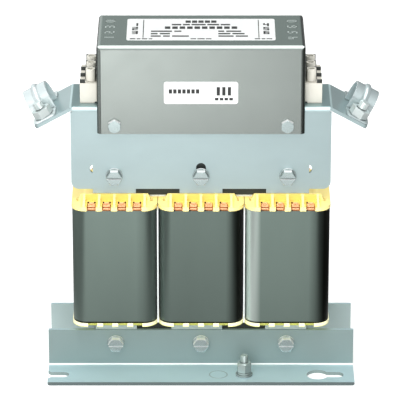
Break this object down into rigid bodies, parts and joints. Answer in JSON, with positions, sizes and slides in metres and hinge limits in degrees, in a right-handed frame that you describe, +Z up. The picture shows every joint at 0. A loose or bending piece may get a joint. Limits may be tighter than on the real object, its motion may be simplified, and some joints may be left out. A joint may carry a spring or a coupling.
{
  "type": "three-phase output filter",
  "caption": "Three-phase reactor on angle feet, with a filter housing, terminal blocks and cable shield clamps on a folded bracket above its coils.",
  "frame": {"origin": "centre of the footprint, on the ground", "axes": "+X to the right along the row of coils, +Y to the rear, +Z up"},
  "size_m": [0.2074, 0.0908, 0.2034],
  "materials": {
    "sheet_steel": "satin zinc coat",
    "lamination": "matt varnish over stacked laminations",
    "pressboard": "matt",
    "coil_former": "satin moulded",
    "copper": "enamelled wire",
    "coil_wrap": "matt wrap",
    "zinc": "satin zinc plate",
    "hood_steel": "satin grey paint",
    "board": "satin solder mask",
    "capacitor": "gloss",
    "resistor": "matt",
    "terminal_plastic": "satin moulded",
    "barrier_plastic": "matt",
    "cage_brass": "satin",
    "strap_steel": "bright zinc plate",
    "label_film": "satin film"
  },
  "bodies": {
    "root": {"front_base_bracket": "sheet_steel", "rear_base_bracket": "sheet_steel", "upper_bracket": "sheet_steel", "rear_yoke_plate": "sheet_steel", "core_stack": "lamination", "core_yoke": "lamination", "leg_gap_pads": "pressboard", "phase_sheets": "pressboard", "window_strips": "pressboard", "bobbin_1": "coil_former", "bobbin_2": "coil_former", "bobbin_3": "coil_former", "winding_1": "copper", "winding_2": "copper", "winding_3": "copper", "coil_wrap_1": "coil_wrap", "coil_wrap_2": "coil_wrap", "coil_wrap_3": "coil_wrap", "shelf_rivets": "zinc", "core_bolts_lower": "zinc", "core_bolts_upper": "zinc", "core_bolt_washers": "zinc", "core_bolt_nuts": "zinc", "hood_screws": "zinc", "hood_nuts": "zinc", "terminal_screws": "zinc", "clamp_studs": "zinc", "clamp_nuts": "zinc", "earth_stud": "zinc", "earth_washer": "zinc", "earth_spring_washer": "zinc", "earth_nut": "zinc", "board_spacers": "zinc", "hood": "hood_steel", "circuit_board": "board", "film_capacitors": "capacitor", "damping_resistors": "resistor", "terminal_block_left": "terminal_plastic", "terminal_block_right": "terminal_plastic", "terminal_barriers_left": "barrier_plastic", "terminal_barriers_right": "barrier_plastic", "terminal_cages": "cage_brass", "shield_strap_left": "strap_steel", "shield_strap_right": "strap_steel", "top_label": "label_film", "front_label": "label_film"}
  },
  "joints": []
}
